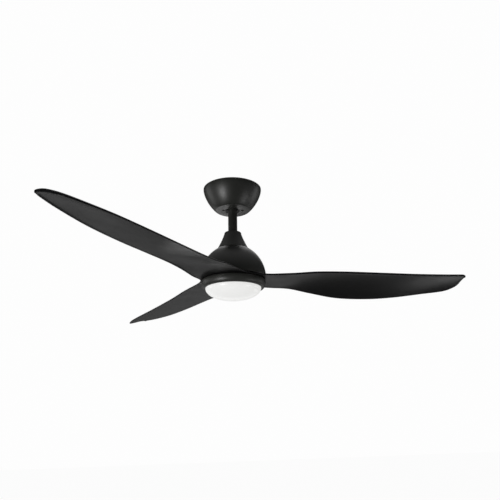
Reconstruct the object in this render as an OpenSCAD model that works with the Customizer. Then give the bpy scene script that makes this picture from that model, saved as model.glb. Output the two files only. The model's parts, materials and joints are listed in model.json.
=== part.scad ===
// Three-blade ceiling fan with a round LED light under the hub, on a short downrod.
// Millimetres. The origin is the centre of the hanger bracket's top face, against the
// ceiling, and +Z points up, so the whole fan lies below z = 0.

/* [Sweep] */
// Diameter of the circle that the blade tips sweep
sweep = 1300; // [1200:10:1400]
// Angle of the first blade from +X when the fan is stored
rest_turn = 0; // [-60:1:60]
// Height of the blade roots' underside below the ceiling
blade_drop = 272; // [271.5:0.5:272.5]

/* [Canopy] */
// Radius of the canopy at the ceiling
canopy_r = 82.2; // [80:0.1:86]
// Height of the canopy
canopy_h = 65.7; // [65:0.1:66]
// Radius of the canopy's flat floor
canopy_floor_r = 47; // [45:0.5:50]
// Wall of the canopy
canopy_wall = 1.2; // [1:0.1:1.5]

/* [Hanger] */
// Depth of the ball's centre below the ceiling
pivot_drop = 42; // [41:0.5:43]
// Radius of the hanger ball
ball_r = 18; // [17.5:0.1:18.2]
// Distance between the two ceiling slots
slot_spacing = 80; // [78:1:84]
// Length of each ceiling slot
slot_length = 14; // [10:1:16]
// Width of each ceiling slot
slot_width = 6; // [5:0.5:7]

/* [Downrod] */
// Outer radius of the downrod
rod_r = 12.7; // [12:0.1:12.7]
// Depth of the downrod's lower end below the ceiling
rod_foot = 161; // [159:1:162]

/* [Motor] */
// Outer radius of the motor housing at its rim
housing_r = 89.7; // [88.5:0.1:90.5]
// Depth of the motor housing's rim below the ceiling
housing_rim = 266; // [265.5:0.1:266]
// Number of stator teeth
tooth_count = 12; // [9:3:12]
// Number of rotor magnets
magnet_count = 14; // [10:2:18]

/* [Blades] */
// Thickness of a blade at its edges
blade_edge_t = 3.2; // [2.5:0.1:4]
// Thickness of a blade in the middle of its chord
blade_mid_t = 7; // [5:0.5:9]
// Upward bow of a blade across its chord, as a share of the chord
blade_camber = 0.035; // [0:0.005:0.06]

/* [Light] */
// Outer radius of the diffuser
diffuser_r = 75; // [74.5:0.1:75.5]
// Depth of the diffuser's bowl below its rim
diffuser_bowl = 30; // [24:1:34]
// Number of LEDs in the outer ring of the board
led_count = 18; // [12:1:24]

/* [Hidden] */
$fn = 96;

// Clearance left around what passes through a hole, and a small overlap for clean cuts
gap = 0.1;
run = 0.3;
eps = 0.5;

satin_black = [0.10, 0.10, 0.095];
zinc = [0.62, 0.64, 0.66];
brass = [0.72, 0.58, 0.30];
copper = [0.72, 0.38, 0.20];
green_board = [0.10, 0.32, 0.20];
white_plastic = [0.90, 0.90, 0.88];
opal = [0.97, 0.97, 0.95];
rubber = [0.07, 0.07, 0.07];

// Heights of the hanger
pivot_z = -pivot_drop;
plate_t = 2.5;
leg_x = 29;
bracket_y = 19;
bracket_x = 52;
liner_in_r = ball_r + run;
liner_out_r = liner_in_r + 2.2;
seat_r = liner_out_r + run;
seat_top = pivot_z - 2;
seat_foot = pivot_z - 12;
seat_ring_r = 26;
canopy_screw_x = 27;
canopy_hole_r = 20.5;
floor_top = -canopy_h + canopy_wall;

// Heights of the downrod and the coupler
connector_foot = -16;
rod_wall = 2;
rod_top = -20;
coupler_r = 19;
coupler_top = -141;
flange_r = 36;
flange_top = -185.2;
flange_foot = -189;
coupler_pin_z = -151;
set_screw_z = -145.5;

// The controller board
board_z = -206.6;
board_top = board_z + 1.5 + 0.1;

// Heights of the covers
cover_top = -133.2;
cover_foot = -182.6;
cover_foot_r = 43.6;
cover_wall = 1.6;
housing_top = -183;
housing_rise = 95.5;
housing_wall = 1.8;

// The hollow shaft and the bearings
shaft_r = 9;
shaft_bore = 6;
shaft_foot = -287;
shaft_top = -172;
race_h = 7;
inner_race_r = 11;
outer_race_in = 14;
bearing_r = 16;
ball_ring_r = (inner_race_r + outer_race_in) / 2;
bearing_ball_r = (outer_race_in - inner_race_r) / 2 - gap;
upper_bearing_z = -222;
lower_bearing_z = -262;

// The rotor
rotor_r = 70;
rotor_wall = 2.5;
rotor_top = -212.5;
rotor_split = -243.1;
rotor_foot = -267;
rotor_plate_r = 80;
rotor_lug_r = 78;
rotor_screw_r = 74.3;

// Blade roots
root_in_r = 48;
root_out_r = 88;
root_t = 4;
root_z = -blade_drop;
blade_screw_r = 67;
blade_screw_turn = 33;
seam_gap = 0.4;
tip_x = sweep / 2;

// The two long edges of a blade, as points [along, across, up] on the underside. "along" is
// measured from the fan's axis on a 650 mm blade, and "up" from the root's underside.
high_edge = [
    [40, -68, 0], [75, -66, 0], [110, -63, -1], [165, -57.5, 2], [225, -57, 5], [305, -55, 4.5],
    [400, -49.5, 2], [500, -39.5, 0.5], [585, -26.5, 2], [630, -17.5, 4], [642, -13.5, 4.5], [650, -8.5, 3]
];
low_edge = [
    [40, 73, 0], [75, 72, 0], [110, 71.5, -3], [160, 74, -6], [220, 84, -17], [300, 99, -29],
    [390, 102.5, -32.5], [470, 96.5, -30], [550, 82.5, -24], [610, 67.5, -20], [636, 50, -13.5], [645, 31, -7]
];
blade_steps = 3;
chord_steps = 6;

// The light
plate_top = -276;
light_plate_r = 83;
ring_top = -273.2;
ring_foot = -294;
shelf_r = 70;
shelf_screw_r = 73.5;
led_board_z = -288.4;
led_board_r = 62;
led_post_r = 58;
lug_turn = 16;
twist_turn = 20;

// ---- helpers ----

// A flat ring with its underside at z0
module ring(r_out, r_in, z0, h) {
    translate([0, 0, z0]) difference() {
        cylinder(r = r_out, h = h);
        translate([0, 0, -eps]) cylinder(r = r_in, h = h + 2 * eps);
    }
}

// A stub from z0 upwards
module post(r, z0, h) {
    translate([0, 0, z0]) cylinder(r = r, h = h);
}

// Puts its children at n equal turns on a radius
module around(n, radius, first = 0) {
    for (i = [0 : n - 1]) {
        rotate([0, 0, first + i * 360 / n]) translate([radius, 0, 0]) children();
    }
}

// A pan-head screw with its head's underside at z = 0, the shank upwards
module screw_up(r, length, head_r, head_h) {
    cylinder(r = r, h = length, $fn = 32);
    translate([0, 0, -head_h]) difference() {
        cylinder(r = head_r, h = head_h, $fn = 32);
        translate([0, 0, -eps]) cylinder(r = head_r * 0.45, h = head_h * 0.5 + eps, $fn = 6);
    }
}

// The point at place t, from 0 to 1, on the smooth curve from p[i] to p[i + 1]
function pick(p, i) = p[max(0, min(len(p) - 1, i))];
function bend(a, b, c, d, t) =
    0.5 * (2 * b + (c - a) * t + (2 * a - 5 * b + 4 * c - d) * t * t + (3 * b - a - 3 * c + d) * t * t * t);
function along(p, u) =
    let (i = min(floor(u), len(p) - 2))
    bend(pick(p, i - 1), pick(p, i), pick(p, i + 1), pick(p, i + 2), u - i);

// Radius of the canopy at the share s of its height, from the ceiling down
canopy_round = 1.56;
canopy_fall = 1.17;
function canopy_radius(s) =
    canopy_floor_r + (canopy_r - canopy_floor_r) * pow(1 - pow(s, canopy_round), 1 / canopy_fall);

// Radius of the housing at the height h above its rim, a quarter of an ellipse
function housing_radius(h) = housing_r * sqrt(1 - pow(h / housing_rise, 2));

// Radius of the coupling cover at the share s of its height, from the shoulder down
cover_shoulder_r = 23.6;
cover_shoulder_z = -136;
cover_flare = 1.22;
function cover_radius(s) = cover_shoulder_r + (cover_foot_r - cover_shoulder_r) * pow(s, cover_flare);

// ---- fixed to the ceiling ----

// U-shaped steel bracket with two ceiling slots and a round seat for the ball
module hanger_bracket() {
    color(zinc) difference() {
        union() {
            translate([-bracket_x, -bracket_y, -plate_t]) cube([2 * bracket_x, 2 * bracket_y, plate_t]);
            for (side = [-1, 1]) {
                translate([side * (leg_x + plate_t / 2) - plate_t / 2, -bracket_y, seat_foot])
                    cube([plate_t, 2 * bracket_y, -seat_foot - plate_t + eps]);
                translate([side * canopy_screw_x, 0, floor_top + gap]) cylinder(r = 4.3, h = 14);
            }
            translate([-leg_x - eps, -bracket_y, seat_foot]) cube([2 * (leg_x + eps), 2 * bracket_y, 3]);
            post(seat_ring_r, seat_foot, seat_top - seat_foot);
        }
        translate([0, 0, pivot_z]) sphere(r = seat_r);
        post(seat_ring_r + eps, seat_top, 12);
        for (side = [-1, 1]) {
            translate([side * slot_spacing / 2, 0, 0]) ceiling_slot();
            translate([side * canopy_screw_x, 0, floor_top]) cylinder(r = 2, h = 13, $fn = 32);
        }
        post(8, -plate_t - eps, plate_t + 2 * eps);
        translate([leg_x - eps, 10, -16]) rotate([0, 90, 0]) cylinder(r = 2, h = plate_t + 2 * eps, $fn = 32);
    }
}

// One slot through the bracket's plate, its long way along X
module ceiling_slot() {
    reach = (slot_length - slot_width) / 2;
    translate([0, 0, -plate_t - eps]) {
        for (side = [-1, 1]) {
            translate([side * reach, 0, 0]) cylinder(r = slot_width / 2, h = plate_t + 2 * eps);
        }
        translate([-reach, -slot_width / 2, 0]) cube([2 * reach, slot_width, plate_t + 2 * eps]);
    }
}

// Pressed steel bowl that hides the bracket, with a plain hem at the ceiling
module canopy() {
    steps = 14;
    rim_z = -1;
    hem = 2;
    outer = [for (i = [0 : steps]) let (s = i / steps)
        [canopy_radius(s), rim_z - hem - (canopy_h + rim_z - hem) * s]];
    inner = [for (i = [steps : -1 : 0]) let (s = i / steps)
        [canopy_radius(s) - canopy_wall, rim_z - hem - (canopy_h + rim_z - hem) * s + canopy_wall * s]];
    color(satin_black) difference() {
        rotate_extrude() polygon(concat(
            [[canopy_r, rim_z]], outer, [[canopy_hole_r, -canopy_h], [canopy_hole_r, floor_top]],
            inner, [[canopy_r - canopy_wall, rim_z]]));
        for (side = [-1, 1]) {
            translate([side * canopy_screw_x, 0, -canopy_h - eps]) cylinder(r = 2.2, h = 3, $fn = 32);
        }
    }
}

// Two screws through the canopy's floor, beside the downrod
module canopy_screws() {
    color(satin_black) for (side = [-1, 1]) {
        translate([side * canopy_screw_x, 0, -canopy_h - gap]) screw_up(1.9, 12, 4, 1.3);
    }
}

receiver_x = 44;
receiver_y = 21;
receiver_d = 28;
receiver_top = -4;
receiver_h = 20;
receiver_wall = 1.6;

// Open tray of the remote control's receiver, beside the bracket
module receiver_case() {
    color(white_plastic) translate([-receiver_x, receiver_y, receiver_top - receiver_h]) difference() {
        cube([2 * receiver_x, receiver_d, receiver_h - receiver_wall]);
        translate([receiver_wall, receiver_wall, receiver_wall])
            cube([2 * (receiver_x - receiver_wall), receiver_d - 2 * receiver_wall, receiver_h]);
    }
}

// Flat lid of the receiver
module receiver_lid() {
    color(white_plastic) translate([-receiver_x, receiver_y, receiver_top - receiver_wall + gap])
        cube([2 * receiver_x, receiver_d, receiver_wall - gap]);
}

// Circuit board in the receiver with its relay and capacitors
module receiver_board() {
    inset = receiver_wall + 0.6;
    color(green_board) translate([-receiver_x + inset, receiver_y + inset, receiver_top - receiver_h + 4]) {
        cube([2 * (receiver_x - inset), receiver_d - 2 * inset, 1.6]);
        translate([6, 5, 1.5]) cube([20, 14, 9]);
        translate([40, 11, 1.5]) cylinder(r = 5, h = 9);
        translate([54, 11, 1.5]) cylinder(r = 5, h = 9);
        translate([64, 6, 1.5]) cube([12, 10, 6]);
    }
}

// Three-way terminal block for the supply, on the outside of the bracket's leg
module terminal_block() {
    way = 10;
    block_w = 14;
    block_h = 18;
    block_foot = -43;
    color(white_plastic) translate([-leg_x - plate_t - gap - block_w, -1.5 * way, block_foot]) difference() {
        cube([block_w, 3 * way, block_h]);
        for (i = [0 : 2]) {
            translate([block_w / 2, (i + 0.5) * way, -eps]) cylinder(r = 2.4, h = block_h + 2 * eps, $fn = 32);
            for (z = [4.5, 13.5]) {
                translate([-eps, (i + 0.5) * way, z]) rotate([0, 90, 0]) cylinder(r = 2, h = 7, $fn = 32);
            }
        }
    }
}

// Earth screw with its washer on the bracket's leg
module earth_screw() {
    color(brass) translate([leg_x + plate_t + gap, 10, -16]) rotate([0, -90, 0]) {
        translate([0, 0, -1.2]) difference() {
            cylinder(r = 4.5, h = 1.2, $fn = 48);
            translate([0, 0, -eps]) cylinder(r = 1.2, h = 0.5 + eps, $fn = 32);
        }
        translate([0, 0, -1.2]) screw_up(1.9, 8, 3.4, 2.4);
    }
}

// ---- the ball joint ----

// Nylon seat ring between the ball and the bracket
module ball_liner() {
    color(white_plastic) translate([0, 0, pivot_z]) difference() {
        intersection() {
            sphere(r = liner_out_r);
            translate([0, 0, -10]) cylinder(r = liner_out_r + 1, h = 8.5);
        }
        sphere(r = liner_in_r);
    }
}

// Ball that the fan hangs on, with a groove for the cross pin
module hanger_ball() {
    cut = 12;
    pin_rise = 9;
    color(rubber) translate([0, 0, pivot_z]) difference() {
        intersection() {
            sphere(r = ball_r);
            translate([0, 0, -14]) cylinder(r = ball_r + 1, h = 14 + cut);
        }
        translate([0, 0, -ball_r - 1]) cylinder(r = rod_r + gap, h = 2 * ball_r + 2);
        translate([-ball_r - 1, -3, pin_rise]) cube([2 * ball_r + 2, 6, cut]);
        translate([-ball_r - 1, 0, pin_rise]) rotate([0, 90, 0]) cylinder(r = 3, h = 2 * ball_r + 2, $fn = 48);
        translate([0, 0, 2]) rotate([-90, 0, 0]) cylinder(r = 2.1, h = ball_r + 1, $fn = 32);
    }
}

// Cross pin that carries the downrod on the ball
module ball_pin() {
    color(zinc) translate([-15, 0, pivot_z + 9]) rotate([0, 90, 0]) cylinder(r = 2.8, h = 30, $fn = 48);
}

// Grub screw that locks the ball to the downrod
module ball_set_screw() {
    color(zinc) translate([0, rod_r + gap, pivot_z + 2]) rotate([-90, 0, 0]) difference() {
        cylinder(r = 2, h = 5, $fn = 32);
        translate([0, 0, 3]) cylinder(r = 1, h = 3, $fn = 6);
    }
}

// ---- hangs from the ball and doesn't turn ----

// Steel tube from the ball to the motor coupler
module downrod() {
    color(satin_black) difference() {
        ring(rod_r, rod_r - rod_wall, -rod_foot, rod_top + rod_foot);
        for (z = [pivot_z + 9, coupler_pin_z]) {
            translate([-rod_r - 1, 0, z]) rotate([0, 90, 0]) cylinder(r = 3, h = 2 * rod_r + 2, $fn = 48);
        }
    }
}

// Three wires down the rod and the hollow shaft to the light
module lead_wires() {
    wire_r = 1.1;
    pitch = 2.3;
    side = 4.1;
    wire_foot = -285;
    color([0.85, 0.85, 0.82]) for (i = [-1 : 1]) {
        translate([i * pitch, side, 0]) post(wire_r, wire_foot, connector_foot - wire_foot, $fn = 24);
    }
}

// Plug on the upper end of the wires
module lead_connector() {
    color(white_plastic) translate([-7, -4, connector_foot]) difference() {
        cube([14, 10.5, 10]);
        translate([2, 2, 5]) cube([10, 6.5, 6]);
    }
}

// Steel yoke that joins the downrod to the motor's shaft
module motor_coupler() {
    shoulder = 6;
    color(zinc) difference() {
        union() {
            post(coupler_r, flange_foot, coupler_top - flange_foot);
            post(flange_r, flange_foot, flange_top - flange_foot);
        }
        post(rod_r + gap, -rod_foot - gap, 60);
        post(shaft_bore, -rod_foot - shoulder - 10, 20);
        post(shaft_r + gap, flange_foot - eps, shaft_top + gap - flange_foot + eps);
        translate([-coupler_r - 1, 0, coupler_pin_z]) rotate([0, 90, 0])
            cylinder(r = 3, h = 2 * coupler_r + 2, $fn = 48);
        translate([0, -coupler_r - 1, set_screw_z]) rotate([-90, 0, 0])
            cylinder(r = 2.6, h = 2 * coupler_r + 2, $fn = 32);
        around(4, 30, 45) post(1.9, flange_foot - eps, 6, $fn = 32);
        around(4, 26, 0) post(1.6, flange_foot - eps, 3, $fn = 32);
    }
}

// Clevis pin through the coupler and the downrod
module coupler_pin() {
    color(zinc) difference() {
        union() {
            translate([-22.5, 0, coupler_pin_z]) rotate([0, 90, 0]) cylinder(r = 2.9, h = 45, $fn = 48);
            translate([-22.5, 0, coupler_pin_z]) rotate([0, 90, 0]) cylinder(r = 4.5, h = 2.5, $fn = 48);
        }
        translate([20.7, 0, coupler_pin_z - 5]) cylinder(r = 1, h = 10, $fn = 24);
    }
}

// Wire clip through the end of the clevis pin
module cotter_clip() {
    wire_r = 0.8;
    color(zinc) translate([20.7, 0, coupler_pin_z]) {
        translate([0, 0, -6]) cylinder(r = wire_r, h = 12, $fn = 24);
        translate([0, 2.5, 6]) rotate([0, 90, 0]) rotate_extrude($fn = 48) translate([2.5, 0]) circle(r = wire_r);
    }
}

// Two grub screws that clamp the downrod in the coupler
module coupler_set_screws() {
    color(zinc) for (side = [0, 180]) {
        rotate([0, 0, side]) translate([0, rod_r + 0.2, set_screw_z]) rotate([-90, 0, 0]) difference() {
            cylinder(r = 2.5, h = 7.5, $fn = 32);
            translate([0, 0, 5]) cylinder(r = 1.3, h = 4, $fn = 6);
        }
    }
}

// Flared cover over the coupler, with a round shoulder under the downrod's hole
module coupling_cover() {
    steps = 10;
    fillet = 3;
    fillet_steps = 5;
    hole_r = rod_r + 0.6;
    shoulder = [for (i = [0 : fillet_steps]) let (a = 90 - i * 75 / fillet_steps)
        [cover_shoulder_r - 1 - fillet + fillet * cos(a), cover_top - fillet + fillet * sin(a)]];
    flare = [for (i = [1 : steps]) let (s = i / steps)
        [cover_radius(s), cover_shoulder_z + (cover_foot - cover_shoulder_z) * s]];
    inside = [for (i = [steps : -1 : 1]) let (s = i / steps)
        [cover_radius(s) - cover_wall, cover_shoulder_z + (cover_foot - cover_shoulder_z) * s]];
    color(satin_black) rotate_extrude() polygon(concat(
        [[hole_r, cover_top]], shoulder, flare, inside,
        [[cover_shoulder_r - 1 - cover_wall, cover_top - 2.2 * cover_wall], [hole_r, cover_top - cover_wall]]));
}

// Bell-shaped motor housing with a flat top that sits on the coupler's flange
module motor_housing() {
    steps = 20;
    top_h = housing_top + housing_rim;
    turn = asin(top_h / housing_rise);
    outer = [for (i = [steps : -1 : 0]) let (h = housing_rise * sin(turn * i / steps))
        [housing_radius(h), h - housing_rim]];
    inner = [for (i = [0 : steps]) let (h = (housing_rise - housing_wall) * sin(turn * i / steps))
        [housing_radius(h * housing_rise / (housing_rise - housing_wall)) - housing_wall, h - housing_rim]];
    color(satin_black) difference() {
        rotate_extrude() polygon(concat(
            [[coupler_r + run, housing_top]], outer, inner, [[coupler_r + run, housing_top - housing_wall]]));
        around(4, 30, 45) post(2.2, housing_top - 6, 10, $fn = 32);
    }
}

// Four screws that hold the housing on the coupler's flange
module housing_screws() {
    color(zinc) around(4, 30, 45) translate([0, 0, housing_top + gap]) mirror([0, 0, 1])
        screw_up(1.8, 6.5, 3.8, 2.2);
}

// Four posts that carry the controller board
module controller_posts() {
    color(brass) around(4, 26, 0) {
        post(3, board_top, flange_foot - gap - board_top, $fn = 32);
        post(1.5, board_top - 1, flange_foot + 2 - board_top, $fn = 32);
    }
}

// Ring-shaped motor controller above the rotor
module controller_board() {
    color(green_board) difference() {
        union() {
            ring(54, 13, board_z, 1.5);
            around(3, 44, 20) post(5, board_z + 1, 13);
            around(6, 42, 90) translate([-4, -5, board_z + 1]) cube([8, 10, 5]);
        }
        around(4, 26, 0) post(1.7, board_z - eps, 4, $fn = 32);
    }
}

// Hollow shaft that carries the stator, the bearings and the light
module motor_shaft() {
    collar_r = 13;
    color(zinc) difference() {
        union() {
            post(shaft_r, shaft_foot, shaft_top - shaft_foot);
            post(collar_r, plate_top, 5);
        }
        post(shaft_bore, shaft_foot - eps, shaft_top - shaft_foot + 2 * eps);
        translate([0, 0, -198]) rotate([-90, 0, 0]) cylinder(r = 3, h = 20, $fn = 48);
    }
}

stator_foot = -251;
stator_h = 20;
tooth_w = 7;
tooth_in_r = 24;
shoe_in_r = 57.5;
stator_r = 61;

// Laminated core with wide-ended teeth
module stator_core() {
    shoe_turn = 360 / tooth_count - 5;
    color([0.35, 0.35, 0.37]) difference() {
        union() {
            post(tooth_in_r, stator_foot, stator_h);
            around(tooth_count, 0) translate([tooth_in_r - 2, -tooth_w / 2, stator_foot])
                cube([shoe_in_r - tooth_in_r + 3.5, tooth_w, stator_h]);
            around(tooth_count, 0) rotate([0, 0, -shoe_turn / 2]) translate([0, 0, stator_foot])
                rotate_extrude(angle = shoe_turn) translate([shoe_in_r, 0])
                    square([stator_r - shoe_in_r, stator_h]);
        }
        post(shaft_r + gap, stator_foot - eps, stator_h + 2 * eps);
    }
}

// One copper coil on each tooth
module stator_windings() {
    coil_in = 27;
    coil_out = 55;
    coil_w = 2.8;
    clear = 0.3;
    inner_w = tooth_w + 2 * clear;
    inner_h = stator_h + 2 * clear;
    color(copper) around(tooth_count, 0) {
        translate([coil_in, -inner_w / 2 - coil_w, stator_foot - clear - coil_w]) difference() {
            cube([coil_out - coil_in, inner_w + 2 * coil_w, inner_h + 2 * coil_w]);
            translate([-eps, coil_w, coil_w]) cube([coil_out - coil_in + 2 * eps, inner_w, inner_h]);
        }
    }
}

module upper_inner_race() {
    color(zinc) ring(inner_race_r, shaft_r + gap / 2, upper_bearing_z, race_h);
}

module lower_inner_race() {
    color(zinc) ring(inner_race_r, shaft_r + gap / 2, lower_bearing_z, race_h);
}

// Nut that clamps the light's plate under the shaft's collar
module shaft_nut() {
    color(zinc) translate([0, 0, plate_top - 2 - 5 - gap]) difference() {
        cylinder(r = 15, h = 5, $fn = 6);
        translate([0, 0, -eps]) cylinder(r = shaft_r + gap, h = 6);
    }
}

// Steel pan plate that carries the light
module light_plate() {
    color(white_plastic) difference() {
        ring(light_plate_r, shaft_r + gap, plate_top - 2, 2 - gap);
        around(3, shelf_screw_r, 30) post(1.6, plate_top - 3, 4, $fn = 32);
        around(3, led_post_r, 90) post(1.6, plate_top - 3, 4, $fn = 32);
    }
}

// Rounded trim ring around the light, with a shelf under the plate and a ledge for the diffuser
module light_ring() {
    ledge_top = ring_foot + 3;
    wall_in = 78.2;
    curve_steps = 8;
    belly_r = 88;
    belly_z = -278.5;
    foot_r = 77.8;
    outer = [for (i = [0 : curve_steps]) let (a = 90 * i / curve_steps)
        [foot_r + (belly_r - foot_r) * cos(a), belly_z + (ring_foot - belly_z) * sin(a)]];
    color(satin_black) difference() {
        rotate_extrude() polygon(concat(
            [[light_plate_r + 0.4, ring_top], [belly_r - 1.6, ring_top], [belly_r - 0.4, ring_top - 1.2]],
            outer,
            [[diffuser_r + 0.5, ring_foot], [diffuser_r + 0.5, ledge_top], [wall_in, ledge_top],
             [wall_in, plate_top - 4.1], [shelf_r, plate_top - 4.1], [shelf_r, plate_top - 2 - gap],
             [light_plate_r + 0.4, plate_top - 2 - gap]]));
        around(3, shelf_screw_r, 30) post(1.6, plate_top - 5, 4, $fn = 32);
        for (i = [0 : 2]) {
            rotate([0, 0, i * 120 + twist_turn - 1]) translate([0, 0, ring_foot - eps])
                rotate_extrude(angle = lug_turn + 2) translate([diffuser_r - 2, 0])
                    square([wall_in - diffuser_r + 2.4, 4 + eps]);
        }
    }
}

// Three screws that hold the trim ring to the plate
module ring_screws() {
    color(zinc) around(3, shelf_screw_r, 30) translate([0, 0, plate_top - 4.2]) screw_up(1.4, 4, 2.8, 1.6);
}

// LED driver under the plate
module led_driver() {
    color(white_plastic) translate([-30, 18, plate_top - 2 - gap - 7]) cube([60, 30, 7]);
}

// Three posts that carry the LED board
module led_posts() {
    color(brass) around(3, led_post_r, 90) {
        post(2.5, led_board_z + 1.7, plate_top - 2.1 - led_board_z - 1.7, $fn = 32);
        post(1.4, led_board_z - 0.4, 13, $fn = 32);
    }
}

// Aluminium board behind the diffuser
module led_board() {
    color(white_plastic) difference() {
        ring(led_board_r, shaft_r + 1, led_board_z, 1.6);
        around(3, led_post_r, 90) post(1.6, led_board_z - eps, 3, $fn = 32);
    }
}

// LEDs in two rings
module led_chips() {
    chip = 3;
    color([0.95, 0.85, 0.45]) for (ring_no = [0, 1]) {
        around(ring_no == 0 ? led_count : round(led_count / 2), ring_no == 0 ? 50 : 28, 5)
            translate([-chip / 2, -chip / 2, led_board_z - 0.8]) cube([chip, chip, 0.7]);
    }
}

// ---- turns with the blades ----

// Ring of lugs where the two halves of the rotor case meet
module case_lugs(z0, h) {
    around(6, 0) translate([rotor_r - 2, -5, z0]) cube([rotor_screw_r - rotor_r + 2, 10, h]);
    around(6, rotor_screw_r) post(rotor_lug_r - rotor_screw_r + 0.6, z0, h, $fn = 48);
}

// Upper half of the rotor case, with a seat for the upper bearing
module rotor_case_top() {
    seat_out = bearing_r + 3;
    color([0.30, 0.30, 0.31]) difference() {
        union() {
            post(rotor_r, rotor_split + gap, rotor_top - rotor_split - gap);
            case_lugs(rotor_split + gap, 3);
        }
        difference() {
            post(rotor_r - rotor_wall, rotor_split - eps, rotor_top - rotor_wall - rotor_split + eps);
            post(seat_out, upper_bearing_z - 3, 30);
        }
        post(bearing_r + gap / 2, upper_bearing_z - 4, race_h + 4);
        post(inner_race_r + 1.5, rotor_split + gap, 40);
        around(6, rotor_screw_r) post(1.7, rotor_split - eps, 6, $fn = 32);
    }
}

// Lower half of the rotor case, with the plate that the blades are screwed to
module rotor_case_bottom() {
    seat_out = bearing_r + 3;
    color([0.30, 0.30, 0.31]) difference() {
        union() {
            post(rotor_r, rotor_foot, rotor_split - rotor_foot);
            post(rotor_plate_r, rotor_foot, 3);
            case_lugs(rotor_split - 3, 3);
        }
        difference() {
            post(rotor_r - rotor_wall, rotor_foot + 3, 60);
            post(seat_out, rotor_foot, 14);
        }
        post(bearing_r + gap / 2, lower_bearing_z, race_h + 8);
        post(inner_race_r + 1.5, rotor_foot - eps, 40);
        around(6, rotor_screw_r) post(1.5, rotor_split - 3 - eps, 6, $fn = 32);
        blade_screw_places() post(2, rotor_foot - eps, 3 + 2 * eps, $fn = 32);
    }
}

// Six screws that close the rotor case
module rotor_screws() {
    color(zinc) around(6, rotor_screw_r) translate([0, 0, rotor_split + gap + 3 + gap]) mirror([0, 0, 1])
        screw_up(1.4, 6, 2.6, 1.8);
}

// Magnets on the inside of the rotor case
module rotor_magnets() {
    magnet_turn = 360 / magnet_count - 3;
    color([0.20, 0.20, 0.22]) around(magnet_count, 0) translate([0, 0, stator_foot - 2])
        rotate_extrude(angle = magnet_turn) translate([62, 0]) square([5.4, stator_h + 4]);
}

module upper_outer_race() {
    color(zinc) ring(bearing_r, outer_race_in, upper_bearing_z, race_h);
}

module lower_outer_race() {
    color(zinc) ring(bearing_r, outer_race_in, lower_bearing_z, race_h);
}

// Balls of both bearings
module bearing_balls() {
    color(zinc) for (z = [upper_bearing_z, lower_bearing_z]) {
        around(14, ball_ring_r) translate([0, 0, z + race_h / 2]) sphere(r = bearing_ball_r, $fn = 32);
    }
}

// The places of the blade screws, three for each blade
module blade_screw_places() {
    for (blade = [0 : 2], k = [-1, 0, 1]) {
        rotate([0, 0, rest_turn + blade * 120 + k * blade_screw_turn])
            translate([blade_screw_r, 0, 0]) children();
    }
}

// Rubber pads between the blade roots and the rotor
module blade_pads() {
    pad_turn = 100;
    pad_z = root_z + root_t;
    color(rubber) difference() {
        for (blade = [0 : 2]) {
            rotate([0, 0, rest_turn + blade * 120 - pad_turn / 2]) translate([0, 0, pad_z])
                rotate_extrude(angle = pad_turn) translate([56, 0]) square([22, rotor_foot - pad_z]);
        }
        blade_screw_places() post(2.4, pad_z - eps, 4, $fn = 32);
    }
}

// Nine screws, flush in the blade roots
module blade_screws() {
    color(zinc) blade_screw_places() translate([0, 0, root_z + 2.3]) screw_up(1.8, 5, 3.8, 2.2);
}

// A place along a blade, with the sweep taken into account
function stretch(p) = [
    p[0] > 110 ? 110 + (p[0] - 110) * (tip_x - 110) / 540 : p[0],
    p[1],
    p[2]
];

// One section of the blade: the underside from the high edge to the low one, and the top back
function section(u) =
    let (
        a = stretch(along(high_edge, u)),
        b = stretch(along(low_edge, u)),
        chord = norm(b - a),
        fade = min(1, max(0, (u - 1.5) / 2)),
        spots = [for (j = [0 : chord_steps]) (1 - cos(180 * j / chord_steps)) / 2],
        under = [for (w = spots) a + (b - a) * w + [0, 0, blade_camber * chord * 4 * w * (1 - w) * fade]],
        thick = [for (w = spots) blade_edge_t + (blade_mid_t - blade_edge_t) * sqrt(4 * w * (1 - w)) * fade]
    )
    concat(under, [for (j = [chord_steps : -1 : 0]) under[j] + [0, 0, thick[j]]]);

// The blade's skin from the hub to the tip, in its own direction along +X
module blade_skin() {
    last = (len(high_edge) - 1) * blade_steps;
    n = 2 * (chord_steps + 1);
    points = [for (k = [0 : last]) each section(k / blade_steps)];
    sides = [for (k = [0 : last - 1], j = [0 : n - 1])
        let (p = k * n + j, q = k * n + (j + 1) % n)
        each [[p, p + n, q], [q, p + n, q + n]]];
    caps = [for (j = [0 : chord_steps - 1])
        each [[j, j + 1, n - 2 - j, n - 1 - j],
              [last * n + n - 1 - j, last * n + n - 2 - j, last * n + j + 1, last * n + j]]];
    polyhedron(points = points, faces = concat(sides, caps), convexity = 4);
}

// One moulded blade with its third of the hub
module blade(number) {
    reach = 800;
    half = 60 - atan(seam_gap / 2 / root_out_r);
    color(satin_black) rotate([0, 0, rest_turn + (number - 1) * 120]) difference() {
        intersection() {
            union() {
                translate([0, 0, root_z]) blade_skin();
                post(root_out_r, root_z, root_t);
            }
            translate([0, 0, root_z - 60]) linear_extrude(height = 100) polygon([
                [0, 0], [reach * cos(half), -reach * sin(half)], [reach, -reach * sin(half)],
                [reach, reach * sin(half)], [reach * cos(half), reach * sin(half)]]);
        }
        post(root_in_r, root_z - 40, 80);
        for (k = [-1, 0, 1]) {
            rotate([0, 0, k * blade_screw_turn]) translate([blade_screw_r, 0, 0]) {
                post(2.2, root_z - 5, 20, $fn = 32);
                post(4.2, root_z - 5, 7.3, $fn = 32);
            }
        }
        post(root_out_r + 2, root_z + root_t, 20);
    }
}

module blade_1() { blade(1); }
module blade_2() { blade(2); }
module blade_3() { blade(3); }

// ---- twists off ----

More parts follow.
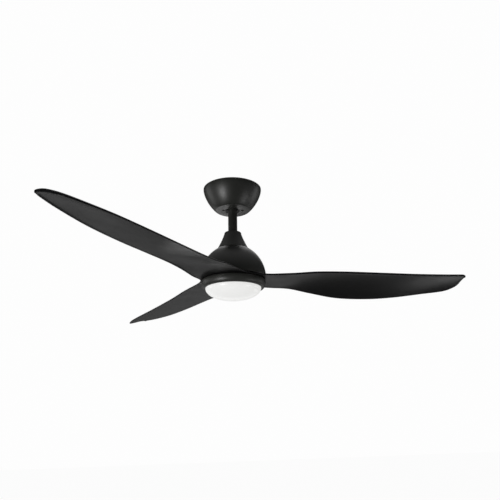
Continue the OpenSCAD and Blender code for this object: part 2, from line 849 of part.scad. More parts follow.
// Opal bowl with a neck and three lugs that lock behind the trim ring's ledge
module diffuser() {
    steps = 16;
    wall = 2.2;
    neck_top = ring_foot + 5.8;
    outer = [for (i = [0 : steps]) let (a = 90 * i / steps)
        [diffuser_r * cos(a), ring_foot - diffuser_bowl * sin(a)]];
    inner = [for (i = [steps : -1 : 0]) let (a = 90 * i / steps)
        [(diffuser_r - wall) * cos(a), ring_foot - (diffuser_bowl - wall) * sin(a)]];
    color(opal) {
        rotate_extrude() polygon(concat([[diffuser_r, neck_top]], outer, inner, [[diffuser_r - wall, neck_top]]));
        for (i = [0 : 2]) {
            rotate([0, 0, i * 120]) translate([0, 0, ring_foot + 3.3])
                rotate_extrude(angle = lug_turn) translate([diffuser_r - 1, 0]) square([3, 2]);
        }
    }
}

hanger_bracket();
canopy();
canopy_screws();
receiver_case();
receiver_lid();
receiver_board();
terminal_block();
earth_screw();
ball_liner();
hanger_ball();
ball_pin();
ball_set_screw();
downrod();
lead_wires();
lead_connector();
motor_coupler();
coupler_pin();
cotter_clip();
coupler_set_screws();
coupling_cover();
motor_housing();
housing_screws();
controller_posts();
controller_board();
motor_shaft();
stator_core();
stator_windings();
upper_inner_race();
lower_inner_race();
shaft_nut();
light_plate();
light_ring();
ring_screws();
led_driver();
led_posts();
led_board();
led_chips();
rotor_case_top();
rotor_case_bottom();
rotor_screws();
rotor_magnets();
upper_outer_race();
lower_outer_race();
bearing_balls();
blade_pads();
blade_screws();
blade_1();
blade_2();
blade_3();
diffuser();
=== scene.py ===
"""Looks of a three-blade ceiling fan with a round LED light.

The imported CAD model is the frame. The covers, blades, trim ring and diffuser that show are made here
as smooth meshes at the CAD's own sizes, and every other CAD part gets a procedural finish.
Lengths are in millimetres in this file and become metres when a mesh is made.
"""

import json
import math

import bpy
from mathutils import Matrix, Vector


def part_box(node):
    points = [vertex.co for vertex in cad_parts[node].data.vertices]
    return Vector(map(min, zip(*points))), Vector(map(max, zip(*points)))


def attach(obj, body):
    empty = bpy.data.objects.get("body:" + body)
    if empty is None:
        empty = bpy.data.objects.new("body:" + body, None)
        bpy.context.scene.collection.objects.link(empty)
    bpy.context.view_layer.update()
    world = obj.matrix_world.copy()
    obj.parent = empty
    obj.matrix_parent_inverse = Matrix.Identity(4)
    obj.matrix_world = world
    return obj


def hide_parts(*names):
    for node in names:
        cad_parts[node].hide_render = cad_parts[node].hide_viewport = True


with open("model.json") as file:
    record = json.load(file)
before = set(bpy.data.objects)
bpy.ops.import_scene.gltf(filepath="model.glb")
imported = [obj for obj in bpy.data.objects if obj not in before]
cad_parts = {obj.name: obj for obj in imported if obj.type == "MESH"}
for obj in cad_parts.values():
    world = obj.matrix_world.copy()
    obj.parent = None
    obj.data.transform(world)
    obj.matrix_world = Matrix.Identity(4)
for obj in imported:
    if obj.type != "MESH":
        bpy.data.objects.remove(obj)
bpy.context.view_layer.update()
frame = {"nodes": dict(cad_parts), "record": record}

MM = 0.001


def low(node):
    """The lowest corner of a CAD node, in millimetres."""
    return [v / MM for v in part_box(node)[0]]


def high(node):
    """The highest corner of a CAD node, in millimetres."""
    return [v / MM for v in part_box(node)[1]]


# ---------------------------------------------------------------- camera

# Metres, radians and millimetres of lens; the shift is a share of the picture's width
CAMERA_PLACE = (-0.0187, -1.3566, -0.639)
CAMERA_YAW = 0.0822
CAMERA_PITCH = 0.3072
CAMERA_ROLL = -0.0314
CAMERA_LENS = 37.13
CAMERA_SENSOR = 36
CAMERA_SHIFT = (-0.0335, 0.0161)


def make_camera():
    """A camera in front of the fan and below it, looking up."""
    data = bpy.data.cameras.new("camera")
    data.lens = CAMERA_LENS
    data.sensor_width = CAMERA_SENSOR
    data.shift_x, data.shift_y = CAMERA_SHIFT
    data.clip_start = 0.05
    data.clip_end = 100
    camera = bpy.data.objects.new("camera", data)
    bpy.context.collection.objects.link(camera)
    forward = Vector((
        math.sin(CAMERA_YAW) * math.cos(CAMERA_PITCH),
        math.cos(CAMERA_YAW) * math.cos(CAMERA_PITCH),
        math.sin(CAMERA_PITCH),
    ))
    right = forward.cross(Vector((0, 0, 1))).normalized()
    up = right.cross(forward)
    across = right * math.cos(CAMERA_ROLL) + up * math.sin(CAMERA_ROLL)
    upright = up * math.cos(CAMERA_ROLL) - right * math.sin(CAMERA_ROLL)
    turn = Matrix((across, upright, -forward)).transposed()
    camera.matrix_world = Matrix.Translation(CAMERA_PLACE) @ turn.to_4x4()
    bpy.context.scene.camera = camera


# ---------------------------------------------------------------- light and stage

# Brightness of the surroundings as light, from straight down (0) over the horizon (0.5) to straight up (1)
SKY = ((0.0, 0.15), (0.1, 0.05), (0.19, 0.03), (0.33, 0.08), (0.42, 0.17), (0.485, 0.17),
       (0.53, 0.005), (0.72, 0.02), (1.0, 0.32))
# What the camera sees behind the fan
BACKDROP = 0.985


def make_world():
    """Near-white to the camera. As light it is dim: a pale band under the horizon, and pale overhead."""
    world = bpy.data.worlds.new("studio")
    bpy.context.scene.world = world
    world.use_nodes = True
    nodes, links = world.node_tree.nodes, world.node_tree.links
    nodes.clear()
    coords = nodes.new("ShaderNodeTexCoord")
    split = nodes.new("ShaderNodeSeparateXYZ")
    links.new(coords.outputs["Generated"], split.inputs[0])
    ramp = nodes.new("ShaderNodeValToRGB")
    stretch = nodes.new("ShaderNodeMapRange")
    stretch.inputs["From Min"].default_value = -1
    links.new(split.outputs["Z"], stretch.inputs["Value"])
    links.new(stretch.outputs["Result"], ramp.inputs["Fac"])
    for place, _ in SKY[1:-1]:
        ramp.color_ramp.elements.new(place)
    for element, (place, level) in zip(ramp.color_ramp.elements, SKY):
        element.position = place
        element.color = (level, level, level, 1)
    lighting = nodes.new("ShaderNodeBackground")
    links.new(ramp.outputs["Color"], lighting.inputs["Color"])
    seen = nodes.new("ShaderNodeBackground")
    seen.inputs["Color"].default_value = (BACKDROP, BACKDROP, BACKDROP, 1)
    path = nodes.new("ShaderNodeLightPath")
    mix = nodes.new("ShaderNodeMixShader")
    out = nodes.new("ShaderNodeOutputWorld")
    links.new(path.outputs["Is Camera Ray"], mix.inputs["Fac"])
    links.new(lighting.outputs["Background"], mix.inputs[1])
    links.new(seen.outputs["Background"], mix.inputs[2])
    links.new(mix.outputs["Shader"], out.inputs["Surface"])


def softbox(name, place, target, size, power):
    """A rectangular area light at place, in metres, that faces target."""
    data = bpy.data.lights.new(name, "AREA")
    data.shape = "RECTANGLE"
    data.size, data.size_y = size
    data.energy = power
    light = bpy.data.objects.new(name, data)
    light.location = place
    light.rotation_mode = "QUATERNION"
    light.rotation_quaternion = (Vector(target) - Vector(place)).to_track_quat("-Z", "Y")
    light.visible_camera = False
    bpy.context.collection.objects.link(light)


# Metres
FLOOR_Z = -3.4
FLOOR_REACH = 40
FLOOR_GLOW = 0.955


def make_stage():
    """A plain pale floor far below the fan. Its glow matches the backdrop, and it doesn't light the fan."""
    corners = ((-1, -1), (1, -1), (1, 1), (-1, 1))
    mesh = bpy.data.meshes.new("floor")
    mesh.from_pydata([(x * FLOOR_REACH, y * FLOOR_REACH, FLOOR_Z) for x, y in corners], [], [(0, 1, 2, 3)])
    floor = bpy.data.objects.new("floor", mesh)
    bpy.context.collection.objects.link(floor)
    paint = finish("pale_floor", (0.06, 0.06, 0.06), rough=0.95, grain=40, depth=0.1, mottle=0.02)
    shader = paint.node_tree.nodes["Principled BSDF"]
    shader.inputs["Emission Color"].default_value = (1, 1, 1, 1)
    shader.inputs["Emission Strength"].default_value = FLOOR_GLOW
    mesh.materials.append(paint)
    floor.visible_diffuse = False
    floor.visible_glossy = False


def make_lights():
    """The main light comes from the lower left in front, and weaker ones from the other sides.

    Places are in metres, sizes in metres and powers in watts. The kicker is a small light close behind
    the fan, under the canopy's floor.
    """
    hub = (0, 0, -0.25)
    softbox("key", (-2.3, -2.1, -1.9), (0, 0, -0.1), (0.9, 1.2), 42)
    softbox("fill", (2.9, -0.9, -2.5), hub, (1.3, 1.5), 13)
    softbox("top", (0.3, 2.6, 2.2), hub, (2.4, 2.4), 13)
    softbox("far", (-0.8, 4.6, -1.9), hub, (6.0, 0.8), 8)
    softbox("side_left", (-4.0, 1.5, -0.5), hub, (1.4, 2.6), 13)
    softbox("side_right", (4.0, 1.5, -0.5), hub, (1.4, 2.6), 11)
    softbox("back_left", (-2.3, 4.0, -0.6), (-0.3, -0.5, -0.3), (1.2, 0.7), 0.7)
    softbox("back_right", (2.5, 3.0, -2.2), (0.6, 0, -0.27), (1.0, 1.0), 3.5)
    softbox("kicker", (-0.12, 0.4, -0.22), (0, 0, -0.07), (0.3, 0.08), 0.09)


# ---------------------------------------------------------------- finishes

def node(tree, kind, **values):
    """Adds a node and sets its named inputs."""
    made = tree.nodes.new(kind)
    for name, value in values.items():
        made.inputs[name.replace("_", " ")].default_value = value
    return made


def noise(tree, coords, size, detail=3.0):
    """Noise with features of about size millimetres."""
    made = node(tree, "ShaderNodeTexNoise", Scale=1 / (size * MM), Detail=detail)
    tree.links.new(coords.outputs["Object"], made.inputs["Vector"])
    return made


# Where most of a noise's values lie
NOISE_LOW = 0.3
NOISE_HIGH = 0.7
# A noise's values where a worn finish starts to show and where it shows most, and its most
WORN_FROM = 0.66
WORN_TO = 0.80
WORN_SHARE = 0.5


def span(tree, value, least, most):
    """Maps the usual values of a noise to least..most."""
    made = tree.nodes.new("ShaderNodeMapRange")
    made.inputs["From Min"].default_value = NOISE_LOW
    made.inputs["From Max"].default_value = NOISE_HIGH
    made.inputs["To Min"].default_value = least
    made.inputs["To Max"].default_value = most
    tree.links.new(value, made.inputs["Value"])
    return made.outputs["Result"]


def shade(color, factor):
    """A colour made lighter or darker."""
    return tuple(min(1.0, c * factor) for c in color) + (1,)


def blend_colors(tree, factor, dark, light):
    """A colour between dark and light."""
    made = tree.nodes.new("ShaderNodeMix")
    made.data_type = "RGBA"
    made.inputs["A"].default_value = dark
    made.inputs["B"].default_value = light
    tree.links.new(factor, made.inputs["Factor"])
    return made.outputs["Result"]


def lay_over(tree, under, factor, color):
    """One colour laid over another output, as far as factor says."""
    made = tree.nodes.new("ShaderNodeMix")
    made.data_type = "RGBA"
    made.inputs["B"].default_value = color
    tree.links.new(under, made.inputs["A"])
    tree.links.new(factor, made.inputs["Factor"])
    return made.outputs["Result"]


def finish(name, color, metal=0.0, rough=0.4, vary=0.05, grain=0.6, depth=0.15, mottle=0.12, patch=30.0,
           coat=0.0, coat_rough=0.25, pattern=None, worn=None):
    """A moulded, painted or metal surface: mottled colour, uneven gloss and a fine grain.

    grain is the size of the bumps and patch that of the mottling, in millimetres. pattern adds a
    texture of its own and returns (factor, colour, bump height). worn is a colour for rubbed spots.
    """
    material = bpy.data.materials.new(name)
    material.use_nodes = True
    tree = material.node_tree
    shader = tree.nodes["Principled BSDF"]
    shader.inputs["Metallic"].default_value = metal
    shader.inputs["Coat Weight"].default_value = coat
    shader.inputs["Coat Roughness"].default_value = coat_rough
    coords = tree.nodes.new("ShaderNodeTexCoord")
    broad = noise(tree, coords, patch, 4.0)
    mottling = span(tree, broad.outputs["Fac"], 0.0, 1.0)
    tint = blend_colors(tree, mottling, shade(color, 1 - mottle), shade(color, 1 + mottle))
    fine = noise(tree, coords, grain, 2.0)
    height = fine.outputs["Fac"]
    if pattern:
        factor, accent, height = pattern(tree, coords, height)
        tint = lay_over(tree, tint, factor, accent)
    if worn:
        rubbed = noise(tree, coords, patch * 0.35, 8.0)
        spots = tree.nodes.new("ShaderNodeMapRange")
        spots.inputs["From Min"].default_value = WORN_FROM
        spots.inputs["From Max"].default_value = WORN_TO
        spots.inputs["To Max"].default_value = WORN_SHARE
        tree.links.new(rubbed.outputs["Fac"], spots.inputs["Value"])
        tint = lay_over(tree, tint, spots.outputs["Result"], worn + (1,))
    tree.links.new(tint, shader.inputs["Base Color"])
    uneven = noise(tree, coords, patch * 0.6, 5.0)
    tree.links.new(span(tree, uneven.outputs["Fac"], rough - vary, rough + vary), shader.inputs["Roughness"])
    bump = tree.nodes.new("ShaderNodeBump")
    bump.inputs["Strength"].default_value = depth
    bump.inputs["Distance"].default_value = grain * MM * 0.25
    tree.links.new(height, bump.inputs["Height"])
    tree.links.new(bump.outputs["Normal"], shader.inputs["Normal"])
    return material


def bands(direction, size, accent, sharp=0.5):
    """A pattern of stripes across an axis, such as laminations or turns of wire."""
    def pattern(tree, coords, height):
        wave = tree.nodes.new("ShaderNodeTexWave")
        wave.bands_direction = direction
        wave.inputs["Scale"].default_value = 0.314 / (size * MM)
        tree.links.new(coords.outputs["Object"], wave.inputs["Vector"])
        factor = tree.nodes.new("ShaderNodeMath")
        factor.operation = "MULTIPLY"
        factor.inputs[1].default_value = sharp
        tree.links.new(wave.outputs["Fac"], factor.inputs[0])
        return factor.outputs[0], accent, wave.outputs["Fac"]
    return pattern


def tracks(tree, coords, height):
    """Copper tracks under a circuit board's mask."""
    brick = tree.nodes.new("ShaderNodeTexBrick")
    brick.inputs["Scale"].default_value = 120
    brick.inputs["Mortar Size"].default_value = 0.03
    brick.inputs["Color1"].default_value = (0, 0, 0, 1)
    brick.inputs["Color2"].default_value = (0.2, 0.2, 0.2, 1)
    brick.inputs["Mortar"].default_value = (1, 1, 1, 1)
    tree.links.new(coords.outputs["Object"], brick.inputs["Vector"])
    return brick.outputs["Color"], (0.10, 0.36, 0.20, 1), brick.outputs["Color"]


def spangle(tree, coords, height):
    """The crystal pattern of a zinc coating."""
    cells = tree.nodes.new("ShaderNodeTexVoronoi")
    cells.inputs["Scale"].default_value = 220
    tree.links.new(coords.outputs["Object"], cells.inputs["Vector"])
    grey = tree.nodes.new("ShaderNodeSeparateColor")
    tree.links.new(cells.outputs["Color"], grey.inputs[0])
    return grey.outputs[0], (0.72, 0.73, 0.75, 1), height


def opal():
    """Opal acrylic: white all through, with a soft gloss. Its even glow is painted light that stands in for
    the studio light on the white plastic.
    """
    material = finish("opal", (0.43, 0.435, 0.433), rough=0.24, vary=0.03, grain=2.5, depth=0.03, mottle=0.012,
                      patch=40)
    shader = material.node_tree.nodes["Principled BSDF"]
    shader.inputs["Subsurface Weight"].default_value = 0.25
    shader.inputs["Subsurface Radius"].default_value = (0.010, 0.010, 0.010)
    shader.inputs["Subsurface Scale"].default_value = 0.4
    # Painted light: the even glow stands in for the studio light falling on the white plastic
    shader.inputs["Emission Color"].default_value = (1.0, 1.0, 0.985, 1)
    shader.inputs["Emission Strength"].default_value = 0.68
    return material


def make_finishes():
    """One material for each slot of the record."""
    return {
        "satin_black": finish("satin_black", (0.034, 0.0355, 0.031), rough=0.42, vary=0.04, grain=0.7,
                              depth=0.15, mottle=0.10, patch=45, coat=0.6, coat_rough=0.4,
                              worn=(0.05, 0.05, 0.048)),
        "cover_black": finish("cover_black", (0.039, 0.0405, 0.036), rough=0.44, vary=0.04, grain=0.5,
                              depth=0.15, mottle=0.10, patch=40, coat=0.35, coat_rough=0.4),
        "blade_black": finish("blade_black", (0.0048, 0.0049, 0.0054), rough=0.37, vary=0.025, grain=0.9,
                              depth=0.05, mottle=0.14, patch=70, worn=(0.03, 0.03, 0.03)),
        "zinc_steel": finish("zinc_steel", (0.52, 0.53, 0.54), metal=1, rough=0.38, vary=0.07, grain=0.8,
                             depth=0.12, patch=12, pattern=spangle),
        "polished_steel": finish("polished_steel", (0.68, 0.69, 0.70), metal=1, rough=0.2, vary=0.05,
                                 grain=0.3, depth=0.08, mottle=0.05, patch=9),
        "lamination": finish("lamination", (0.26, 0.26, 0.27), metal=1, rough=0.42, grain=0.5, depth=0.5,
                             patch=8, pattern=bands("Z", 0.5, (0.10, 0.10, 0.11, 1))),
        "cast_case": finish("cast_case", (0.20, 0.20, 0.205), metal=1, rough=0.5, vary=0.08, grain=1.2,
                            depth=0.35, patch=18),
        "copper_wire": finish("copper_wire", (0.50, 0.20, 0.08), metal=1, rough=0.33, grain=0.6, depth=0.6,
                              patch=10, pattern=bands("X", 0.7, (0.28, 0.10, 0.04, 1))),
        "brass": finish("brass", (0.66, 0.47, 0.20), metal=1, rough=0.28, vary=0.06, grain=0.4, patch=8),
        "board": finish("board", (0.03, 0.16, 0.07), rough=0.35, grain=0.7, depth=0.2, patch=15,
                        pattern=tracks),
        "white_plastic": finish("white_plastic", (0.72, 0.72, 0.69), rough=0.45, grain=0.5, mottle=0.04),
        "nylon": finish("nylon", (0.70, 0.68, 0.60), rough=0.5, grain=0.8, mottle=0.05),
        "black_nylon": finish("black_nylon", (0.025, 0.025, 0.025), rough=0.5, grain=0.8),
        "magnet": finish("magnet", (0.10, 0.10, 0.11), metal=0.6, rough=0.45, grain=0.6),
        "rubber": finish("rubber", (0.02, 0.02, 0.02), rough=0.75, grain=0.9, depth=0.4),
        "led": finish("led", (0.85, 0.68, 0.18), rough=0.3, grain=0.4, mottle=0.1, patch=2, coat=0.5),
        "opal": opal(),
        "wire": finish("wire", (0.66, 0.66, 0.63), rough=0.4, grain=0.5, mottle=0.05),
        "painted_plate": finish("painted_plate", (0.78, 0.78, 0.77), rough=0.4, grain=0.6, mottle=0.03),
    }


# ---------------------------------------------------------------- mesh helpers

SHARP_DEG = 38
AROUND = 192


def mesh_piece(name, points, faces, slot, body, *stands_for):
    """A smooth mesh in metres that rides on a body and stands for CAD nodes."""
    mesh = bpy.data.meshes.new(name)
    mesh.from_pydata([[v * MM for v in p] for p in points], [], faces)
    mesh.validate()
    mesh.shade_smooth()
    mesh.set_sharp_from_angle(angle=math.radians(SHARP_DEG))
    piece = bpy.data.objects.new(name, mesh)
    bpy.context.collection.objects.link(piece)
    mesh.materials.append(FINISHES[slot])
    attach(piece, body)
    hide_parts(*stands_for)
    return piece


def soften(corners, steps=5):
    """Rounds a closed outline. Each corner is (r, z, radius); a radius of 0 stays sharp."""
    out = []
    count = len(corners)
    for i, (r, z, radius) in enumerate(corners):
        here = Vector((r, z))
        before = Vector(corners[i - 1][:2]) - here
        after = Vector(corners[(i + 1) % count][:2]) - here
        if radius <= 0 or before.length < 1e-6 or after.length < 1e-6:
            out.append((r, z))
            continue
        half = before.angle(after) / 2
        reach = min(radius / math.tan(half), 0.48 * before.length, 0.48 * after.length)
        start = here + before.normalized() * reach
        end = here + after.normalized() * reach
        for k in range(steps + 1):
            t = k / steps
            out.append(tuple(start * (1 - t) ** 2 + here * 2 * t * (1 - t) + end * t ** 2))
    return out


def revolve(name, outline, slot, body, *stands_for, segments=AROUND):
    """Turns a closed outline of (r, z) round the fan's axis."""
    count = len(outline)
    points = []
    for k in range(segments):
        a = 2 * math.pi * k / segments
        points += [(r * math.cos(a), r * math.sin(a), z) for r, z in outline]
    faces = []
    for k in range(segments):
        here, there = k * count, (k + 1) % segments * count
        for i in range(count):
            j = (i + 1) % count
            faces.append((here + i, there + i, there + j, here + j))
    return mesh_piece(name, points, faces, slot, body, *stands_for)


def curve_through(points, u):
    """The point at place u on a smooth curve through the points, u counting them from 0."""
    last = len(points) - 1
    i = min(int(u), last - 1)
    t = u - i
    a, b, c, d = (Vector(points[max(0, min(last, i + k))]) for k in (-1, 0, 1, 2))
    return 0.5 * (2 * b + (c - a) * t + (2 * a - 5 * b + 4 * c - d) * t * t + (3 * b - a - 3 * c + d) * t ** 3)


# ---------------------------------------------------------------- covers

def canopy():
    """The bowl at the ceiling: thin wall, rolled hem, rounded floor edge and the downrod's hole."""
    rim_r = high("canopy")[0]
    rim_z = high("canopy")[2]
    floor_z = low("canopy")[2]
    wall = 1.2
    floor_r = 47
    hole_r = 20.5
    hem = 2.2
    steps = 44
    round_power = 1.56
    fall_power = 1.17

    def radius(s):
        return floor_r + (rim_r - floor_r) * (1 - s ** round_power) ** (1 / fall_power)

    top = rim_z - hem
    side = [(radius(i / steps), top + (floor_z - top) * i / steps) for i in range(steps + 1)]
    outer = [(rim_r - 0.5, rim_z), (rim_r - 0.1, rim_z - 0.3)] + side[:-1]
    edge = soften([side[-2] + (0,), (floor_r, floor_z, 2.5), (floor_r - 8, floor_z, 0)], 6)[1:-1]
    hole = [(hole_r + 1.2, floor_z), (hole_r + 0.35, floor_z + 0.15), (hole_r, floor_z + 0.6),
            (hole_r, floor_z + wall)]
    inner = [(floor_r - 2.5, floor_z + wall)]
    inner += [(r - wall, z) for r, z in reversed(side) if z > floor_z + wall + 1]
    outline = outer + edge + hole + inner + [(rim_r - wall, rim_z)]
    return revolve("canopy_bowl", outline, "satin_black", "mounting", "canopy")


def coupling_cover():
    """The flared cover over the coupler, with a rounded shoulder and a rolled lower edge."""
    top = high("coupling_cover")[2]
    foot = low("coupling_cover")[2]
    hole_r = 13.3
    shoulder_r = 23.6
    shoulder_z = -136
    foot_r = 43.6
    wall = 1.6
    flare = 1.22
    steps = 30
    side = []
    for i in range(steps + 1):
        s = i / steps
        side.append((shoulder_r + (foot_r - shoulder_r) * s ** flare, shoulder_z + (foot - shoulder_z) * s))
    crown = soften([(hole_r, top, 0.5), (shoulder_r - 0.8, top, 3.4), side[0] + (0,)], 8)[:-1]
    lip = soften([side[-2] + (0,), side[-1] + (0.5,), (foot_r - wall, foot, 0)], 3)[1:-1]
    inside = [(r - wall, z) for r, z in reversed(side)]
    outline = crown + side[:-1] + lip + inside + [(shoulder_r - 3.0, top - 3.2), (hole_r, top - wall)]
    return revolve("cone_cover", outline, "cover_black", "fan_frame", "coupling_cover")


def motor_housing():
    """The bell over the motor, with a rolled rim."""
    rim_r = high("motor_housing")[0]
    rim_z = low("motor_housing")[2]
    top_z = high("motor_housing")[2]
    rise = 95.5
    wall = 1.8
    collar_r = 19.3
    steps = 54
    turn = math.asin((top_z - rim_z) / rise)
    side = []
    for i in range(steps + 1):
        h = rise * math.sin(turn * i / steps)
        side.append((rim_r * math.sqrt(1 - (h / rise) ** 2), rim_z + h))
    outer = list(reversed(side))
    rim = [(rim_r - 0.15, rim_z), (rim_r - wall + 0.2, rim_z)]
    inner = [(max(r - wall, collar_r), z) for r, z in side[1:] if z < top_z - wall]
    outline = [(collar_r, top_z)] + outer[:-1] + [(rim_r, rim_z + 0.5)] + rim + inner
    outline += [(collar_r, top_z - wall)]
    return revolve("motor_bell", outline, "satin_black", "fan_frame", "motor_housing")


def light_ring():
    """The trim ring: a soft step at the top, a full belly and a thin lip round the diffuser."""
    top = high("light_ring")[2]
    foot = low("light_ring")[2]
    belly_r = high("light_ring")[0]
    belly_z = -278.5
    lip_r = 77.8
    seat_r = 76.0
    steps = 26
    belly = []
    for i in range(steps + 1):
        a = math.pi / 2 * i / steps
        belly.append((lip_r + (belly_r - lip_r) * math.cos(a), belly_z + (foot - belly_z) * math.sin(a)))
    crown = soften([(83.4, top, 0.3), (belly_r - 1.0, top, 1.2), (belly_r, belly_z + 1.6, 1.5),
                    belly[0] + (0,)], 5)[:-1]
    inside = [(seat_r, foot + 0.35), (seat_r, -291), (78.2, -291), (78.2, -280.1), (70, -280.1),
              (70, -278.1), (83.4, -278.1)]
    outline = crown + belly[:-1] + [(lip_r - 0.3, foot), (seat_r + 0.4, foot)] + inside
    return revolve("trim_ring", outline, "cover_black", "fan_frame", "light_ring")


def diffuser():
    """The opal bowl with its neck."""
    rim_r = 75
    rim_z = -294
    bowl = rim_z - low("diffuser")[2]
    neck_top = high("diffuser")[2]
    wall = 2.2
    steps = 48
    outer = []
    for i in range(steps + 1):
        a = math.pi / 2 * i / steps
        outer.append((rim_r * math.cos(a), rim_z - bowl * math.sin(a)))
    inner = []
    for i in range(steps, -1, -1):
        a = math.pi / 2 * i / steps
        inner.append(((rim_r - wall) * math.cos(a), rim_z - (bowl - wall) * math.sin(a)))
    return bowl_mesh("opal_bowl", [(rim_r, neck_top)] + outer, inner + [(rim_r - wall, neck_top)])


def bowl_mesh(name, outer, inner, segments=AROUND):
    """A closed bowl whose outer and inner skins each end in a point on the axis."""
    ring = outer[:-1] + inner[1:]
    count = len(ring)
    split = len(outer) - 1
    points = []
    for k in range(segments):
        a = 2 * math.pi * k / segments
        points += [(r * math.cos(a), r * math.sin(a), z) for r, z in ring]
    outer_pole, inner_pole = len(points), len(points) + 1
    points += [(0, 0, outer[-1][1]), (0, 0, inner[0][1])]
    faces = []
    for k in range(segments):
        here, there = k * count, (k + 1) % segments * count
        for i in range(count):
            j = (i + 1) % count
            if j == split:
                faces.append((here + i, there + i, outer_pole))
                faces.append((here + j, inner_pole, there + j))
            else:
                faces.append((here + i, there + i, there + j, here + j))
    return mesh_piece(name, points, faces, "opal", "diffuser", "diffuser")


# ---------------------------------------------------------------- blades

ROOT_Z = -272
ROOT_T = 4
ROOT_IN = 48
NOTCH_R = 88
SEAM_GAP = 0.4
REST_TURN = 0

# Points on the underside along each long edge: along the blade, across it and up, from the root's underside
HIGH_EDGE = [(110, -63, -1), (165, -57.5, 2), (225, -57, 5), (305, -55, 4.5), (400, -49.5, 2),
             (500, -39.5, 0.5), (585, -26.5, 2), (630, -17.5, 4), (642, -13.5, 4.5), (650, -8.5, 3)]
LOW_EDGE = [(110, 71.5, -3), (160, 74, -6), (220, 84, -17), (300, 99, -29), (390, 102.5, -32.5),
            (470, 96.5, -30), (550, 82.5, -24), (610, 67.5, -20), (636, 50, -13.5), (645, 31, -7)]
EDGE_T = 3.2
MID_T = 7.0
CAMBER = 0.035
EDGE_ROUND = 1.2
# The high edge is a rounded nose: over this width the underside first drops and then curls up
NOSE_W = 9.0
NOSE_H = 3.2
NOSE_DROP = 2.6
# How much of the aerofoil the section has where the blade leaves the hub
ROOT_FADE = 0.18
# Lengths of the handles of the notch's curve, at the hub and at the blade
LEAVE = 24
ARRIVE = 26
# Half of the angle between two seams
HALF_THIRD = math.radians(60)
SEAM_ROUND = 0.35
HUB_STEPS = 14
FILLET_STEPS = 16
BLADE_STEPS = 9
CHORD_STEPS = 36
CORNER_STEPS = 4
# Edge points over which the hub's arc fades out and the aerofoil fades in
ARC_FADE = 2.0
AEROFOIL_FADE = 2.2


def smooth(t):
    """Eases from 0 to 1."""
    t = max(0.0, min(1.0, t))
    return t * t * (3 - 2 * t)


def root_edges(side):
    """The blade root's edge on one side: out along the seam, then round the notch to the blade."""
    angle = HALF_THIRD - SEAM_GAP / 2 / NOTCH_R
    out = Vector((math.cos(angle), side * math.sin(angle), 0))
    edge = [out * (ROOT_IN + (NOTCH_R - ROOT_IN) * k / HUB_STEPS) for k in range(HUB_STEPS)]
    table = LOW_EDGE if side > 0 else HIGH_EDGE
    start = out * NOTCH_R
    end = Vector(table[0])
    leave = Vector((math.sin(angle), -side * math.cos(angle), 0)) * LEAVE
    arrive = (curve_through(table, 0.05) - end).normalized() * ARRIVE
    a, b, c, d = start, start + leave, end - arrive, end
    for k in range(FILLET_STEPS):
        t = k / FILLET_STEPS
        edge.append(a * (1 - t) ** 3 + b * 3 * t * (1 - t) ** 2 + c * 3 * t * t * (1 - t) + d * t ** 3)
    return edge


def blade_sections():
    """(high edge, low edge, bow outwards, fade of the aerofoil, corner radius) from hub to tip."""
    made = []
    for k, (a, b) in enumerate(zip(root_edges(-1), root_edges(1))):
        reach = a.length
        t = max(0, k - HUB_STEPS) / FILLET_STEPS
        bow = min(reach, NOTCH_R) / 2 * (1 - 0.55 * smooth(t))
        corner = SEAM_ROUND + (EDGE_ROUND - SEAM_ROUND) * smooth(t * 3)
        made.append((a, b, bow, ROOT_FADE * smooth(t), corner))
    last = len(HIGH_EDGE) - 1
    for k in range(last * BLADE_STEPS + 1):
        u = k / BLADE_STEPS
        bow = NOTCH_R / 2 * 0.45 * (1 - smooth(u / ARC_FADE))
        fade = ROOT_FADE + (1 - ROOT_FADE) * smooth(u / AEROFOIL_FADE)
        made.append((curve_through(HIGH_EDGE, u), curve_through(LOW_EDGE, u), bow, fade, EDGE_ROUND))
    return made


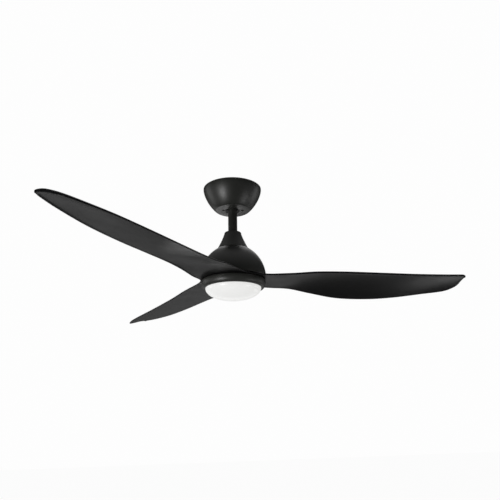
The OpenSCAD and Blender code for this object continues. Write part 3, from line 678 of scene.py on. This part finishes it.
def section_loop(a, b, bow, fade, corner, shrink=0.0, push=0.0):
    """One closed loop of points round the blade, from the high edge along the underside and back.

    shrink makes the section smaller all round and push moves it outwards, which rounds the tip.
    """
    chord = (b - a).length
    along_chord = (b - a).normalized()
    outward = Vector((along_chord.y, -along_chord.x, 0)).normalized()
    a = a + along_chord * shrink + outward * push
    b = b - along_chord * shrink + outward * push
    arc = min(1.0, bow / 20)
    shaped = smooth(fade / ROOT_FADE)

    def place(s):
        """The underside and the thickness at the share s of the chord."""
        turned = 0.5 + math.sin((2 * s - 1) * HALF_THIRD) / math.sin(HALF_THIRD) / 2
        w = s + (turned - s) * arc
        spot = a + (b - a) * w
        spot.x += bow * (math.cos((2 * s - 1) * HALF_THIRD) - 0.5) * 2
        full = 4 * s * (1 - s)
        spot.z += CAMBER * chord * full * fade
        flat = ROOT_T * (1 - shaped) + EDGE_T * shaped
        thick = flat + (MID_T - EDGE_T) * math.sqrt(full) * fade
        near = max(0.0, 1 - s * chord / NOSE_W)
        lift = NOSE_H * (1 - math.sqrt(1 - near * near)) * shaped
        drop = NOSE_DROP * smooth(near) * shaped
        spot.z += lift - drop
        return spot, thick + drop - lift - 2 * shrink

    inset = corner / chord
    shares = [inset + (1 - 2 * inset) * (1 - math.cos(math.pi * j / CHORD_STEPS)) / 2
              for j in range(CHORD_STEPS + 1)]
    under, over = [], []
    for s in shares:
        spot, thick = place(s)
        under.append(spot + Vector((0, 0, shrink)))
        over.append(spot + Vector((0, 0, shrink + thick)))

    def rounding(base, sign, outwards):
        """The rounded corner next to a surface's end point."""
        turn = []
        for k in range(1, CORNER_STEPS + 1):
            t = math.pi / 2 * k / CORNER_STEPS
            turn.append(base + outwards * corner * math.sin(t)
                        + Vector((0, 0, sign * corner * (1 - math.cos(t)))))
        return turn

    loop = list(under)
    loop += rounding(under[-1], 1, along_chord)
    loop += reversed(rounding(over[-1], -1, along_chord))
    loop += reversed(over)
    loop += rounding(over[0], -1, -along_chord)
    loop += reversed(rounding(under[0], 1, -along_chord))
    return loop


def blade(number):
    """One moulded blade with its third of the hub, closed at the root and at the tip."""
    *sections, tip = blade_sections()
    loops = [section_loop(*section) for section in sections]
    for k in range(CORNER_STEPS + 1):
        t = math.pi / 2 * k / CORNER_STEPS
        inward = EDGE_ROUND * (1 - math.cos(t)) * 0.98
        loops.append(section_loop(*tip, shrink=inward, push=EDGE_ROUND * (math.sin(t) - 1)))
    count = len(loops[0])
    turn = Matrix.Rotation(math.radians(REST_TURN + 120 * (number - 1)), 3, "Z")
    points = [turn @ (p + Vector((0, 0, ROOT_Z))) for loop in loops for p in loop]
    faces = []
    for k in range(len(loops) - 1):
        for i in range(count):
            j = (i + 1) % count
            faces.append((k * count + i, (k + 1) * count + i, (k + 1) * count + j, k * count + j))
    last = (len(loops) - 1) * count
    for i in range(count // 2 - 1):
        j = count - 1 - i
        faces.append((i, i + 1, j - 1, j))
        faces.append((last + j, last + j - 1, last + i + 1, last + i))
    return mesh_piece(f"fan_blade_{number}", points, faces, "blade_black", "rotor", f"blade_{number}")


# ---------------------------------------------------------------- the whole fan

make_camera()
make_world()
FINISHES = make_finishes()
make_lights()
make_stage()

canopy()
coupling_cover()
motor_housing()
light_ring()
diffuser()
for number in (1, 2, 3):
    blade(number)

SLOTS = {row["node"]: row["material_slot"] for row in frame["record"]["subparts"]}
for name, part in frame["nodes"].items():
    part.data.materials.clear()
    part.data.materials.append(FINISHES[SLOTS[name]])

bpy.context.scene.view_settings.view_transform = "Standard"
